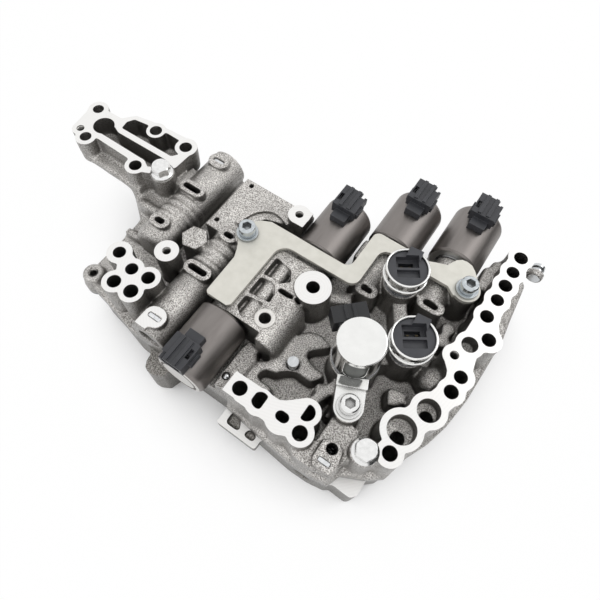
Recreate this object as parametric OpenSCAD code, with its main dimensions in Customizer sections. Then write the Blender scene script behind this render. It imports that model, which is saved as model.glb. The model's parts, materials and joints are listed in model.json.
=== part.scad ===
// Transmission valve body: two castings with a separator plate between them,
// four lying solenoids, three upright solenoids and the valves in their bores.
// Millimetres, z up. The origin is on the resting plane under the middle bolt boss.

/* [Heights] */
// height of the lower casting
lower_h = 25; // [24:0.5:30]
// thickness of the separator plate
plate_t = 1; // [0.8:0.1:1.6]
// height of the upper casting from the seam to the mating face
upper_h = 34; // [33:0.5:38]
// floor thickness of the upper casting
floor_t = 8; // [6:0.5:9]
// depth of the wing below the mating face
wing_t = 18; // [15:0.5:20]

/* [Lying solenoids] */
// radius of a can
can_r = 15.4; // [14:0.1:15.6]
// length of a can
can_len = 40; // [38:0.5:46]
// depth of the can axis below the mating face
can_drop = 14; // [13.5:0.1:14.5]
// radius of a valve nose
nose_r = 6.5; // [5.5:0.1:7]
// length of a valve nose in its bore
nose_len = 26; // [20:0.5:28]

/* [Upright solenoids] */
// radius of the two socket caps
cap_r = 12.2; // [11.6:0.1:12.6]
// height of the two socket caps above the mating face
cap_up = 14; // [13:0.5:20]
// radius of the tall cap
tall_r = 12.8; // [12:0.1:13]
// height of the tall cap above the mating face
tall_up = 22; // [18:0.5:30]

/* [Valves] */
// outer radius of the two cast valve tubes
tube_r = 12.2; // [11.8:0.1:12.6]
// bore radius in the tubes
bore_r = 7; // [6:0.1:7.5]
// bore radius of the front right valve
small_bore_r = 5; // [4.4:0.1:5.4]
// running clearance between a spool and its bore
run = 0.03; // [0.01:0.01:0.08]
// radius of the manual valve rod
rod_r = 3.7; // [3.2:0.1:4]

/* [Ports and fasteners] */
// radius of a port in the mating pads
port_r = 3.9; // [3:0.1:4.2]
// thread radius of the screws
bolt_r = 3; // [2.5:0.1:3.2]
// flange radius of the hex bolts
flange_r = 6.75; // [6.2:0.05:7]
// thickness of the retaining bracket
sheet_t = 2.5; // [2:0.1:3]
// assembly clearance of fitted pieces
fit = 0.05; // [0.02:0.01:0.1]

/* [Hidden] */
$fn = 48;
seam_z = lower_h + plate_t;
top_z = seam_z + upper_h;
floor_z = seam_z + floor_t;
axis_z = top_z - can_drop;
tube_z = top_z - 18;
pad_z = top_z - 4;
seat_z = top_z - 2;
cap_z = top_z - 3;
v3_z = top_z - 20;
pin_floor = top_z - 15;
bolt_z = top_z - 1;
rod_z = top_z - 12;

// x, front face y and pointing of the lying solenoids
lying = [[-12.1, 23.2, 1], [21.3, 53.4, 1], [56.6, 66, 1], [-32, -39, -1]];
// plan places of the upright solenoids
cap_e = [38.3, 33];
cap_f = [60.5, -0.4];
tall_g = [40.5, -20.5];
// bearing of the tall solenoid's clamp and of its plug
clamp_a = -66.5;
plug_a = 135;
clamp_d = 27;
// half width of the window in the tall cap
window_w = 5.8;
// inner radius of the sleeve that carries a socket
sleeve_r = 7;
// height of a plug's underside over its can
plug_gap = 0.6;
// valve bores along y: tube 1, tube 2 and the front right valve
x1 = -100;
x2 = -60.5;
x3 = 55.5;
y1_mouth = 52;
y2_mouth = -71.5;
y3_mouth = -78.5;
y1_clip = 42.7;
y2_clip = -62.5;
y3_clip = -73.3;
rod_x = 100.4;
// lug that guides the manual valve, and the valve's front end, length and groove
lug_y = 86;
lug_len = 4.4;
rod_y = lug_y + 0.6;
rod_len = 10;
groove_y = 5.6;
groove_w = 1.8;
// how much thinner a valve tube is between its cast rings
waist = 1;
// clip thickness
clip_t = 2.2;
// fasteners
bracket_pts = [[-50.3, 7.2], [70.5, 48.2]];
bolt_pts = [[-119.8, 12.7], [69.1, -59]];
base_pts = [[-80.3, -28.7], [-33.6, 35.8], [70.5, 48.2], tall_g + clamp_d * [cos(clamp_a), sin(clamp_a)]];
dowel_pts = [[-112, -20], [78, 82]];
pin_pt = [13.7, -38.5];
pin_r = 3.1;
// depth of the middle block's pockets
pocket_d = 6.4;
// ringed hole of the middle block, and the ball that closes a passage
ring_pt = [-10.9, -30];
ball_pt = [-12.5, -63.9];
// curved rib and drilled knobs of the flat cast plate
rib_pts = [[-62.9, 13.7], [-62, 19.3], [-59.5, 25.7], [-55.4, 30.2], [-50.2, 32.9], [-43.7, 32.6], [-37.2, 29.8]];
knob_pts = [[-74.7, 8.2], [-72.9, 40.7]];
mid_hole_r = 3.9;

// round ports of the mating pads, x, y and radius share
strip_ports = [[87.5, 85.5, 1.05], [87.5, 74, 0.97], [87.5, 63.5, 1.02], [87.5, 52.5, 0.97],
    [87, 40, 1], [93.7, 27.9, 1.02], [90.5, 0.7, 0.95], [89.9, -9.1, 1], [79.3, -53, 1]];
clover_ports = [[-100.9, -44.7, 0.96], [-88, -48.7, 0.95], [-76.9, -47.7, 1], [-90.5, -60, 1.02],
    [-79, -59.2, 1.06]];
wing_ports = [[-187.7, 27.9, 0.93], [-177.4, 6, 0.95], [-145.3, 35.8, 1.02], [-121, 36.3, 1.04],
    [-136.4, 6.9, 1.02]];
front_ports = [[1.8, -68.4, 1.02], [38.8, -69.6, 1.02]];
// cored pockets of the right strip: x, y, radius, then the drilled hole's offset and radius
cored = [[86.5, 19.6, 4.6, [1.2, -2], 1.9], [85.1, -24, 6.2, [1.4, -1.6], 3.6], [78.6, -39.9, 7.6, [0.8, -2.8], 3.6]];

// Shapes used again and again
function arc(c, r, a, b, n = 6) =
    [for (i = [0 : n]) c + r * [cos(a + (b - a) * i / n), sin(a + (b - a) * i / n)]];

module prism(z0, z1) {
    translate([0, 0, z0]) linear_extrude(z1 - z0) children();
}

module disc(p, r) {
    translate([p[0], p[1]]) circle(r);
}

module bar(a, b, w) {
    d = [b[0] - a[0], b[1] - a[1]];
    translate([a[0], a[1]]) rotate(atan2(d[1], d[0])) translate([0, -w / 2]) square([norm(d), w]);
}

module oval(p, l, w) {
    disc([p[0] - (l - w) / 2, p[1]], w / 2);
    disc([p[0] + (l - w) / 2, p[1]], w / 2);
    translate([p[0] - (l - w) / 2, p[1] - w / 2]) square([l - w, w]);
}

module along_y(x, z, y0, y1, r) {
    translate([x, y0, z]) rotate([-90, 0, 0]) cylinder(h = y1 - y0, r = r);
}

module block(x0, x1, y0, y1, z0, z1) {
    translate([x0, y0, z0]) cube([x1 - x0, y1 - y0, z1 - z0]);
}

// a body of revolution laid along y, profile points as [radius, distance]
module turned_y(x, y, z, pts) {
    translate([x, y, z]) rotate([-90, 0, 0]) rotate_extrude() polygon(pts);
}

module at_lying(i) {
    s = lying[i];
    translate([s[0], s[1], axis_z]) rotate(s[2] > 0 ? 0 : 180) children();
}

// round cast ring in the waist of a valve tube, r is the radius of its section
module tube_ring(x, y, r) {
    translate([x, y, tube_z]) rotate([-90, 0, 0]) rotate_extrude() translate([tube_r + 0.5 - r, 0]) circle(r);
}

// Plan outlines of the castings
module floor_plan() {
    polygon([[-124, -52], [-112, -64.5], [-95, -67.5], [-78, y2_mouth], [-6, -71.5], [-5, -75], [20, -78],
        [40, -80], [52, -79.8], [63, -78], [66, -70], [79.4, -63.4], [86, -58], [90, -43], [96, -30], [100, -16],
        [103, 4], [104, 30], [104.5, 50], [103, 64], [101, 90], [97, 95], [82, 94], [75, 89], [75, 76], [41, 76],
        [41, 62], [5, 62], [5, 36], [-28, 36], [-28, 45], [-88, 45], [-88, 52], [-112, 52], [-112, 24],
        [-138, 20], [-138, -1], [-125, -11], [-123.6, -30]]);
    disc([-117.3, -58], 7.5);
}

module right_plan() {
    for (p = strip_ports) disc(p, p[0] > 80 ? 7.4 : 7);
    disc([86.5, 19.6], 7.8);
    disc([82.4, 9.6], 6.4);
    disc([85.1, -24], 9.7);
    disc([78.6, -39.9], 11);
    bar([87.5, 85.5], [87.5, 40], 12.2);
    bar([87, 40], [93.7, 27.9], 12);
    bar([87, 40], [86.5, 19.6], 11);
    bar([93.7, 27.9], [86.5, 19.6], 12);
    bar([86.5, 19.6], [82.4, 9.6], 11.5);
    bar([86.5, 19.6], [90.5, 0.7], 10);
    bar([82.4, 9.6], [90.5, 0.7], 12);
    bar([90.5, 0.7], [89.9, -9.1], 12.6);
    bar([89.9, -9.1], [85.1, -24], 12.6);
    bar([85.1, -24], [78.6, -39.9], 15);
    bar([78.6, -39.9], [79.3, -53], 12);
}

module front_plan() {
    translate([-5, -74]) square([13, 11.8]);
    disc([13.7, -68.6], 7.2);
    disc([27.3, -68.4], 8.6);
    disc([36, -59.4], 7.3);
    disc([38.8, -69.4], 7);
    bar([3, -68.3], [27.3, -68.3], 12.6);
    polygon([[24, -60.6], [31, -54.2], [42, -64], [44, -72], [30, -76]]);
}

module clover_plan() {
    for (p = clover_ports) disc(p, 6.9);
    disc([-100.9, -44.7], 7.3);
    polygon([for (i = [0, 3, 4, 2, 1]) [clover_ports[i][0], clover_ports[i][1]]]);
    bar([-100.9, -44.7], [-88, -48.7], 10);
}

module wing_plan() {
    for (p = wing_ports) disc(p, 6.6);
    disc([-121, 36.3], 7.3);
    disc([-185, 9.2], 5.4);
    polygon([[-192.6, 24], [-190.2, 9], [-172, 9.2], [-144, 8.4], [-136.4, 2], [-123.2, 8.4], [-115.3, 20],
        [-114.6, 40], [-121, 42.6], [-138, 41.6], [-152, 40.4], [-164, 38], [-170, 30.6], [-182, 30.4],
        [-188, 33]]);
}

module wing_low_slot() {
    difference() {
        union() {
            disc([-174.6, 19.4], 6.8);
            polygon([[-179, 13.6], [-138, 13.2], [-133.6, 12.4], [-129.7, 10.4], [-124.9, 13.6], [-123, 19.4],
                [-123.9, 21.2], [-163.4, 20.6], [-168, 22.6]]);
        }
        disc([-136.4, 6.9], 6.4);
    }
}

module wing_high_slot() {
    difference() {
        polygon([[-164.2, 24.6], [-165.2, 30.4], [-162.6, 35], [-151.6, 36.6], [-137, 38.4], [-127.6, 38.3],
            [-120, 30], [-123.6, 25.2]]);
        disc([-145.3, 35.8], 6.1);
        disc([-121, 36.3], 6.8);
    }
}

module plate_plan() {
    polygon([[-79, 2.5], [-67, 2.5], [-59.5, 9.5], [-57.5, 18], [-51, 26], [-41, 29], [-31, 29], [-28, 33],
        [-28, 44.8], [-79, 44.8]]);
}

module middle_plan() {
    polygon([[-31.5, -37.8], [-8.5, -37.8], [-4, -31], [-5.8, -24], [-3.4, -13], [-9.5, -1], [-3, 5], [-3, 11.4],
        [-30, 11.4]]);
}

module pin_floor_plan() {
    polygon([[-3.4, -47], [2, -43.6], [4.4, -39], [4.4, -33], [5, -26.2], [6.6, -20], [10.8, -16.4], [16.4, -14.6],
        [22.2, -16], [26.3, -18.1], [17.8, -25.6], [16.5, -28.8], [19, -30.7], [24.3, -33], [30.4, -32.2],
        [31.5, -35.2], [27.6, -41.4], [22, -41.5], [16.8, -41], [12.4, -44.1], [8.8, -48.3], [3.7, -49.2],
        [1.5, -52.4], [2.2, -55.4], [12.5, -55.3], [12.5, -64], [-4, -64]]);
}

module corner_plan() {
    polygon([[38.6, -76.6], [41.4, -79], [51.5, -79.2], [62.4, -77.4], [64.5, -62], [62, -50], [47, -50],
        [46.6, -66]]);
}

module corner_pad() {
    polygon([[52.4, -62.4], [57.6, -62], [60.8, -64.8], [62.2, -71.4], [61.8, -77.3], [51.4, -78], [49.4, -74.3],
        [49.4, -65]]);
}

// Upper casting
module upper_solid() {
    prism(seam_z, floor_z) floor_plan();
    prism(seam_z, top_z) {
        right_plan();
        front_plan();
        clover_plan();
        disc([0, 0], 10.4);
        disc([-80.3, -28.7], 7);
        disc([-33.6, 35.8], 6.8);
        translate([-34, 29.2]) square([7, 12]);
    }
    // flat cast plate, hexagonal pad, middle block and front right corner
    prism(seam_z, top_z - 8) {
        plate_plan();
        corner_plan();
        translate([-77.8, -9.2]) rotate(12) circle(8.4, $fn = 6);
    }
    prism(seam_z, top_z - 6) for (i = [0 : len(rib_pts) - 2]) {
        bar(rib_pts[i], rib_pts[i + 1], 3);
        disc(rib_pts[i], 1.7);
    }
    prism(seam_z, top_z - 7.2) for (p = knob_pts) disc(p, 3.2);
    // rib from the wing's bolt along the first tube
    prism(seam_z, top_z - 9) bar([-113.5, 15.5], [-110.3, 31], 5);
    prism(seam_z, seat_z - 0.2) middle_plan();
    prism(seam_z, seat_z + 0.7) disc(ring_pt, 5.5);
    prism(seam_z, pad_z) corner_pad();
    // screw bosses of the bracket, the clamp and the flange bolts
    prism(seam_z, seat_z) {
        for (p = bracket_pts) disc(p, 7.6);
        disc(tall_g, 13.6);
        bar(tall_g, base_pts[3], 15.4);
        disc(base_pts[3], 7.4);
    }
    prism(seam_z, bolt_z) for (p = bolt_pts) disc(p, 7.3);
    prism(seam_z, top_z - 20) disc([-117.3, -58], 6.6);
    // seats of the two socket solenoids with the cast web between them
    prism(seam_z, cap_z) {
        disc(cap_e, 10.6);
        disc(cap_f, 10.6);
    }
    prism(seam_z, top_z - 10) {
        bar(cap_e, cap_f, 9);
        bar(cap_f, tall_g, 9);
        bar(cap_e, [21.3, 22], 8);
        bar([40, -34], [30, -62], 6);
        bar([0, 0], [20, 12], 8);
    }
    prism(seam_z, top_z - 5) {
        oval([58.4, 31.5], 17, 9);
        oval([24, 19], 14, 9);
    }
    // valve tubes with their cast rings and the fill under them
    turned_y(x1, -27, tube_z, concat([[0, 0]], arc([tube_r - 5, 5], 5, -90, 0), [[tube_r, 17.8], [0, 17.8]]));
    along_y(x1, tube_z, -10, 13, tube_r - waist);
    along_y(x1, tube_z, 11.8, y1_mouth, tube_r);
    for (y = [-6.4, -1.4, 3.6, 8.6]) tube_ring(x1, y, 2.35);
    along_y(x2, tube_z, y2_mouth, -22.4, tube_r);
    along_y(x2, tube_z, -23, 0, tube_r - waist);
    along_y(x2, tube_z, -1.8, 8, tube_r);
    for (p = [[-18.8, 2.6], [-11.6, 3.5], [-4.8, 2.2]]) tube_ring(x2, p[0], p[1]);
    block(x1 - 11, x1 + 11, -23, 51.5, seam_z, tube_z);
    block(x2 - 11, x2 + 11, -71, 7.5, seam_z, tube_z);
    // slot pads on the tubes
    prism(tube_z, pad_z) {
        oval([x1, y1_clip], 14, 11);
        oval([x1, 16.1], 18, 9);
        oval([x1, -13.5], 13, 9.6);
        oval([x2, 1.9], 12, 8.6);
        oval([x2, -26.7], 18, 9);
        oval([x2, y2_clip], 14, 12.6);
        translate([x2 - 7, -71]) square([8, 8]);
    }
    // nose housings of the lying solenoids
    for (s = lying) {
        y_in = s[1] - s[2] * 1.2;
        y_end = y_in - s[2] * (nose_len + 6);
        along_y(s[0], axis_z, min(y_in, y_end), max(y_in, y_end), 10);
        block(s[0] - 9, s[0] + 9, min(y_in, y_end) + 0.5, max(y_in, y_end) - 0.5, seam_z, axis_z);
    }
    // ledge beside solenoid d, rear block beside the strip, web between two cans
    prism(seam_z, top_z - 17) polygon([[-15.5, -71.2], [-15.5, -46], [-14.2, -40.6], [-9.5, -41.8], [-4.7, -44.7],
        [-3.3, -56.8], [-4, -71.2]]);
    prism(seam_z, top_z - 10) polygon([[74, 60], [73, 76], [76, 78], [75.7, 82.7], [82.4, 87], [84, 80], [84, 60]]);
    block(5, 9, 36, 51.6, seam_z, top_z - 10);
    // rounded shoulder of the middle block
    translate([0, -11.5, 0]) rotate([90, 0, 0]) linear_extrude(31) polygon(concat([[-9, seam_z], [-9, seat_z - 0.6]],
        arc([-9, top_z - 15], 13.6, 84, 12, 8), [[4.6, top_z - 16], [4.6, seam_z]]));
    // raised floor round the pin, with the deep recess left open in front of it
    prism(seam_z, pin_floor) pin_floor_plan();
    prism(seam_z, top_z - 12) disc([33.6, -42.1], 3.6);
    // wing with its ledge and the web that carries it
    prism(top_z - wing_t, top_z) wing_plan();
    prism(top_z - wing_t, top_z - wing_t + 6) polygon([[-180, 0.6], [-130, -1], [-130, 20], [-180, 20]]);
    prism(seam_z, top_z - wing_t + 1) polygon([[-146, 4], [-127, -7], [-110, -7], [-110, 30], [-138, 30]]);
    block(-127, -110, -7, -2, seam_z, top_z - 15);
    block(-123, -110, -26, -21, seam_z, top_z - 21);
    // manual valve lug on the right flank
    along_y(rod_x, rod_z, lug_y, lug_y + lug_len, rod_r + 1.4);
    block(90, rod_x - rod_r + 0.8, lug_y + 0.4, lug_y + lug_len - 0.4, rod_z - 3, rod_z + 2.6);
    // small cast ribs and knobs on the floor
    for (y = [-41, -53]) block(-72, -68, y - 1, y + 1, seam_z, top_z - 14);
    for (p = [[-70, -36.5], [-70.5, -46.5], [-69.1, -57.5], [44, -51], [43.5, -47]]) {
        translate([p[0], p[1], seam_z]) cylinder(h = upper_h - 15, r = 2);
    }
    for (p = [[74, 29], [74, 20.5]]) {
        translate([p[0], p[1], seam_z]) cylinder(h = upper_h - 13, r = 4.6);
    }
    prism(seam_z, top_z - 17) bar(cap_f, [84, -4], 9);
    translate([79.6, -3, top_z - 18.6]) sphere(r = 8.4);
    prism(seam_z, top_z - 15.8) disc([79.6, -3], 7.4);
    prism(seam_z, top_z - 13) {
        polygon([[62.4, -21.9], [63.8, -18.9], [73.6, -17.4], [74.6, -22.1], [72.2, -26.5], [66.8, -29.5]]);
    }
}

module upper_cuts() {
    // ports of the mating pads, blind above the seam
    prism(seam_z + 3, top_z + 1) {
        for (p = concat(strip_ports, clover_ports, front_ports)) disc(p, port_r * p[2]);
        for (c = cored) disc([c[0] + c[3][0], c[1] + c[3][1]], c[4]);
        intersection() {
            disc([13.7, -67.6], 4.4);
            translate([9.8, -74]) square([6.4, 12]);
        }
        oval([27.3, -68], 7.4, 5.4);
        difference() {
            disc([36, -59.4], 4.4);
            translate([31, -65]) square([3.6, 12]);
        }
    }
    for (c = cored) translate([c[0], c[1], top_z - 8]) cylinder(h = 9, r = c[2]);
    prism(top_z - wing_t - 1, top_z + 1) for (p = wing_ports) disc(p, port_r * p[2]);
    // passages of the wing
    prism(top_z - wing_t + 4, top_z + 1) {
        wing_low_slot();
        wing_high_slot();
    }
    // threaded holes
    prism(top_z - 16, top_z + 1) {
        for (p = [[-80.3, -28.7], [-33.6, 35.8], [82.4, 9.6], [-185, 9.2]]) disc(p, bolt_r - 0.45);
    }
    prism(top_z - 30, top_z) disc([-117.3, -58], bolt_r - 0.45);
    prism(top_z - 18, top_z) {
        for (p = bracket_pts) disc(p, bolt_r + fit);
        disc(base_pts[3], bolt_r + fit);
    }
    for (p = bolt_pts) {
        translate([p[0], p[1], seam_z - 1]) cylinder(h = upper_h + 2, r = bolt_r + 0.3);
        translate([p[0], p[1], bolt_z]) cylinder(h = 5, r = flange_r + 0.4);
    }
    for (p = base_pts) translate([p[0], p[1], seam_z - 1]) cylinder(h = 13, r = bolt_r + fit);
    for (p = dowel_pts) translate([p[0], p[1], seam_z - 1]) cylinder(h = 6, r = 2.5 + fit);
    translate([0, 0, seam_z - 1]) cylinder(h = upper_h + 2, r = mid_hole_r);
    // nose bores and the troughs round the cans
    for (i = [0 : 3]) at_lying(i) {
        along_y(0, 0, -nose_len - 2, 1, nose_r + fit);
        along_y(0, 0, -1.2, can_len + 12, can_r + 0.8);
    }
    for (p = [cap_e, cap_f]) translate([p[0], p[1], cap_z - 21]) cylinder(h = 40, r = nose_r + fit);
    translate([tall_g[0], tall_g[1], seat_z - 22]) cylinder(h = 40, r = 8 + fit);
    // valve bores
    along_y(x1, tube_z, -17, y1_mouth + 1, bore_r);
    along_y(x2, tube_z, y2_mouth - 1, 5, bore_r);
    along_y(x3, v3_z, y3_mouth - 2, -51, small_bore_r);
    along_y(rod_x, rod_z, lug_y - 14, lug_y + lug_len + 1, rod_r + run);
    // slots into the bores, the first of each row for the clip
    prism(tube_z, top_z) {
        for (p = [[x1, y1_clip, 8], [x1, 16.1, 12.5], [x1, -13.5, 6.6], [x2, 1.9, 6.4], [x2, -26.7, 12.5],
            [x2, y2_clip, 8]]) {
            if (p[2] == 8) translate([p[0] - 4, p[1] - clip_t / 2 - 0.15]) square([8, clip_t + 0.3]);
            else oval(p, p[2], 3.6);
        }
    }
    prism(v3_z, top_z) {
        disc([x3, -66.1], 2.9);
        translate([x3 - 3.4, y3_clip - clip_t / 2 - 0.15]) square([6.8, clip_t + 0.3]);
    }
    prism(top_z - 14, top_z) {
        oval([58.4, 31.5], 9, 3.2);
        oval([24, 19], 7, 3.2);
    }
    // pockets, slot and ringed hole of the middle block
    prism(seat_z - pocket_d, top_z) {
        polygon([[-28, 5], [-16.6, 2.8], [-12.6, -3.4], [-17.2, -8], [-22, -7], [-28, -8]]);
        polygon([[-28, -10.4], [-22, -9.4], [-18.4, -10.6], [-15.6, -14.6], [-14.8, -20.4], [-28, -22]]);
        polygon([[-28, -24.4], [-17, -22.8], [-17.6, -26.6], [-17.6, -33.8], [-23, -35.8], [-28, -32]]);
    }
    prism(top_z - 14, top_z) {
        oval([-10.6, -11], 9.6, 3);
        disc(ring_pt, 3.3);
    }
    prism(top_z - 13, top_z) for (p = knob_pts) disc(p, 1.5);
    // seats of the pin and the ball
    translate([pin_pt[0], pin_pt[1], pin_floor - 8]) cylinder(h = 20, r = pin_r + fit);
    translate([ball_pt[0], ball_pt[1], top_z - 21]) cylinder(h = 10, r = 2.2 + fit);
}

module upper_body() {
    color("#a9a6a0") {
        difference() {
            upper_solid();
            upper_cuts();
        }
        // cast half tube that shows in the pockets
        intersection() {
            along_y(-21.4, seat_z - pocket_d, -36.5, 5, pocket_d - 1.6);
            block(-28, -14, -36, 4.6, seat_z - pocket_d - 1, seat_z);
        }
    }
}

// Separator plate and lower casting
module separator_plate() {
    color("#8d9094") prism(lower_h, seam_z) difference() {
        floor_plan();
        disc([0, 0], mid_hole_r);
        for (p = concat(bolt_pts, base_pts)) disc(p, bolt_r + 0.3);
        for (p = dowel_pts) disc(p, 2.5 + fit);
        for (p = concat(strip_ports, clover_ports, front_ports)) disc(p, 2.4);
    }
}

module lower_plan() {
    polygon([[-123.4, -51.5], [-112, -63.5], [-95, -66.8], [-78, -71], [-65, -71.6], [-61.2, -74.6], [-60.5, -79.2],
        [-58.6, -82.6], [-55.6, -84], [-51.8, -83.7], [-46.4, -80.9], [-43.6, -71], [-6, -71], [-5, -74.4],
        [20.6, -77.6], [40, -79.4], [52, -79.2], [62.6, -77.4], [65, -75.4], [72.5, -75.7], [76.2, -75.6],
        [78.6, -72.6], [78.6, -63], [85, -57.4], [89, -43], [95, -30], [99, -16], [102, 4], [103, 30],
        [103.5, 50], [102, 64], [100, 89.6], [96.6, 94.4], [82, 93.4], [75.6, 88.4], [75.6, 75.4], [41.6, 75.4], [41.6, 61.4], [5.6, 61.4], [5.6, 35.4],
        [-28.6, 35.4], [-28.6, 44.4], [-87.4, 44.4], [-87.4, 51.4], [-111.4, 51.4], [-111.4, 23.4], [-137, 19.4],
        [-137, -0.6], [-124.4, -10.6], [-123, -30]]);
}

module lower_body() {
    color("#9c9994") difference() {
        union() {
            prism(0, lower_h) lower_plan();
            // thin lug in front
            prism(lower_h - 8, lower_h) polygon([[-5.4, -84], [20.6, -84.4], [20.6, -74], [-5.4, -70]]);
        }
        // pockets in the front lug
        prism(lower_h - 2.6, lower_h + 1) {
            polygon([[-1.4, -81.6], [8.2, -81.6], [5.6, -76], [-1.4, -74]]);
            polygon([[10.4, -81.6], [17.6, -81.8], [17.6, -77.6], [12, -77]]);
        }
        // lightening pockets in the underside
        prism(-1, 9) {
            for (p = [[-108, -44, 24, 30], [-96, 2, 34, 34], [-62, -60, 24, 40], [-52, -12, 34, 22], [10, -62, 26, 44],
                [14, 24, 22, 22], [66, -30, 22, 40], [84, 30, 12, 44]]) {
                translate([p[0], p[1]]) square([p[2], p[3]]);
            }
        }
        translate([0, 0, -1]) cylinder(h = lower_h + 2, r = mid_hole_r);
        for (p = base_pts) {
            translate([p[0], p[1], -1]) cylinder(h = lower_h + 2, r = bolt_r + 0.3);
            translate([p[0], p[1], -1]) cylinder(h = 9, r = flange_r + 0.7);
        }
        for (p = bolt_pts) translate([p[0], p[1], 10.5]) cylinder(h = lower_h, r = bolt_r + fit);
        for (p = dowel_pts) translate([p[0], p[1], lower_h - 6]) cylinder(h = 8, r = 2.5 + fit);
        along_y(48, 13.5, -82, -62, 4.4);
    }
}

module lower_plug() {
    color("#b8b4ac") along_y(48, 13.5, -77.4, -62, 4.4 - fit);
}

module dowel_pins() {
    color("#b9bcc0") for (p = dowel_pts) {
        translate([p[0], p[1], lower_h - 6]) cylinder(h = plate_t + 10.6, r = 2.5);
    }
}

module locating_pin() {
    color("#cfd1d3") translate([pin_pt[0], pin_pt[1], pin_floor - 8]) cylinder(h = 12.6, r = pin_r);
}

module passage_ball() {
    color("#cfd1d3") translate([ball_pt[0], ball_pt[1], top_z - 18.8]) sphere(r = 2.2);
}

// Retaining bracket with its screws
module bracket_plan() {
    polygon(concat([[-46.2, -35], [-44.8, -36.4], [-32, -36.4], [-30.2, -34.6]],
        arc([-22.2, 4.9], 8, 180, 90), arc([13.4, 18.9], 5.5, -90, 0), arc([24.9, 38], 6, 180, 90),
        [[61, 44], [66, 40.5], [78, 50], [76.6, 53], [69.6, 61.4], [66.4, 64], [63, 64.7], [60, 64.3],
            [57.4, 62], [54.7, 56.2], [48, 53.6], [45, 52.2]],
        arc([14, 48.2], 4, 90, 180), arc([5.2, 26.9], 4.8, 0, -90),
        [[-30, 21.8], [-43.5, 21.6], [-49.5, 18.6], [-54.5, 12.6], [-52, 0.8], [-48.8, -5], [-46.8, -10]]));
    disc(bracket_pts[0], 6.8);
    disc(bracket_pts[1], 7.8);
}

module retaining_bracket() {
    color("#d9d8cf") prism(seat_z, seat_z + sheet_t) difference() {
        bracket_plan();
        for (p = bracket_pts) disc(p, bolt_r + 0.3);
    }
}

module washer(p, z, r) {
    translate([p[0], p[1], z]) difference() {
        cylinder(h = 1.6, r = r);
        translate([0, 0, -1]) cylinder(h = 4, r = bolt_r + 0.3);
    }
}

module socket_screw(p, z) {
    translate([p[0], p[1], z]) {
        difference() {
            rotate_extrude() polygon([[0, 0], [4.9, 0], [4.9, 5.2], [4.3, 5.8], [0, 5.8]]);
            translate([0, 0, 3]) cylinder(h = 4, r = 2.9, $fn = 6);
        }
        translate([0, 0, -16]) cylinder(h = 16.5, r = bolt_r);
    }
}

module bracket_washers() {
    color("#c3c8cc") for (p = bracket_pts) washer(p, seat_z + sheet_t, 6.3);
}

module bracket_screws() {
    color("#b3bcc2") for (p = bracket_pts) socket_screw(p, seat_z + sheet_t + 1.6);
}

// Hex flange bolt with its seat at the origin, pointing down
module flange_bolt(shank) {
    rotate_extrude() polygon([[0, 0], [flange_r, 0], [flange_r, 0.9], [5, 2.2], [0, 2.2]]);
    intersection() {
        translate([0, 0, 2]) cylinder(h = 5, r = 5.77, $fn = 6);
        translate([0, 0, 2]) rotate_extrude() polygon([[0, 0], [6, 0], [6, 4], [5, 4.9], [0, 4.9]]);
    }
    translate([0, 0, -shank]) cylinder(h = shank + 0.5, r = bolt_r);
}

module flange_bolts() {
    color("#c9cbcd") for (p = bolt_pts) translate([p[0], p[1], bolt_z + fit]) flange_bolt(bolt_z - 12);
}

module base_bolts() {
    color("#c9cbcd") for (p = base_pts) translate([p[0], p[1], 8]) rotate([180, 0, 0]) flange_bolt(seam_z + 2);
}

// Lying solenoid: can, plug, nose and seals, front face at the local origin and can along y
module can() {
    turned_y(0, 0, 0, concat([[0, 0], [can_r - 1.2, 0], [can_r, 1.2]],
        arc([can_r - 3.5, can_len - 3.5], 3.5, 0, 90, 6),
        [[can_r - 4, can_len - 0.9], [can_r - 4.8, can_len - 0.9], [can_r - 5.1, can_len], [0, can_len]]));
}

module plug() {
    z0 = can_r + plug_gap;
    difference() {
        union() {
            block(-4.8, 4.8, 19.6, 27, can_r - 3, z0 + 3.8);
            block(-5.6, 5.6, 25, 35, can_r - 3, z0 + 1);
            block(-7.4, 7.4, 25.4, 41, z0, z0 + 7.6);
            block(-8.4, 8.4, 28, 35.6, z0, z0 + 3.6);
            block(-3.6, -1.6, 25.8, 40.6, z0 + 7, z0 + 8.8);
            block(1.6, 3.6, 25.8, 40.6, z0 + 7, z0 + 8.8);
        }
        along_y(0, 0, 0, 60, can_r + fit);
        block(-5.8, 5.8, 32, 50, z0 + 1.4, z0 + 6.2);
        block(-6.6, -4.4, 29, 34.6, z0 + 5, z0 + 12);
        block(4.4, 9, 37.6, 46, z0 + 4.6, z0 + 12);
    }
}

module nose() {
    difference() {
        union() {
            along_y(0, 0, -1.2, 0, 10.5);
            along_y(0, 0, -nose_len, -1, nose_r);
        }
        for (y = [-9, -17]) difference() {
            along_y(0, 0, y - 1, y + 1, nose_r + 2);
            along_y(0, 0, y - 2, y + 2, nose_r - 1.4);
        }
    }
}

module seal(y) {
    translate([0, y, 0]) rotate([-90, 0, 0]) rotate_extrude() translate([nose_r - 0.68, 0]) circle(0.7);
}

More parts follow.
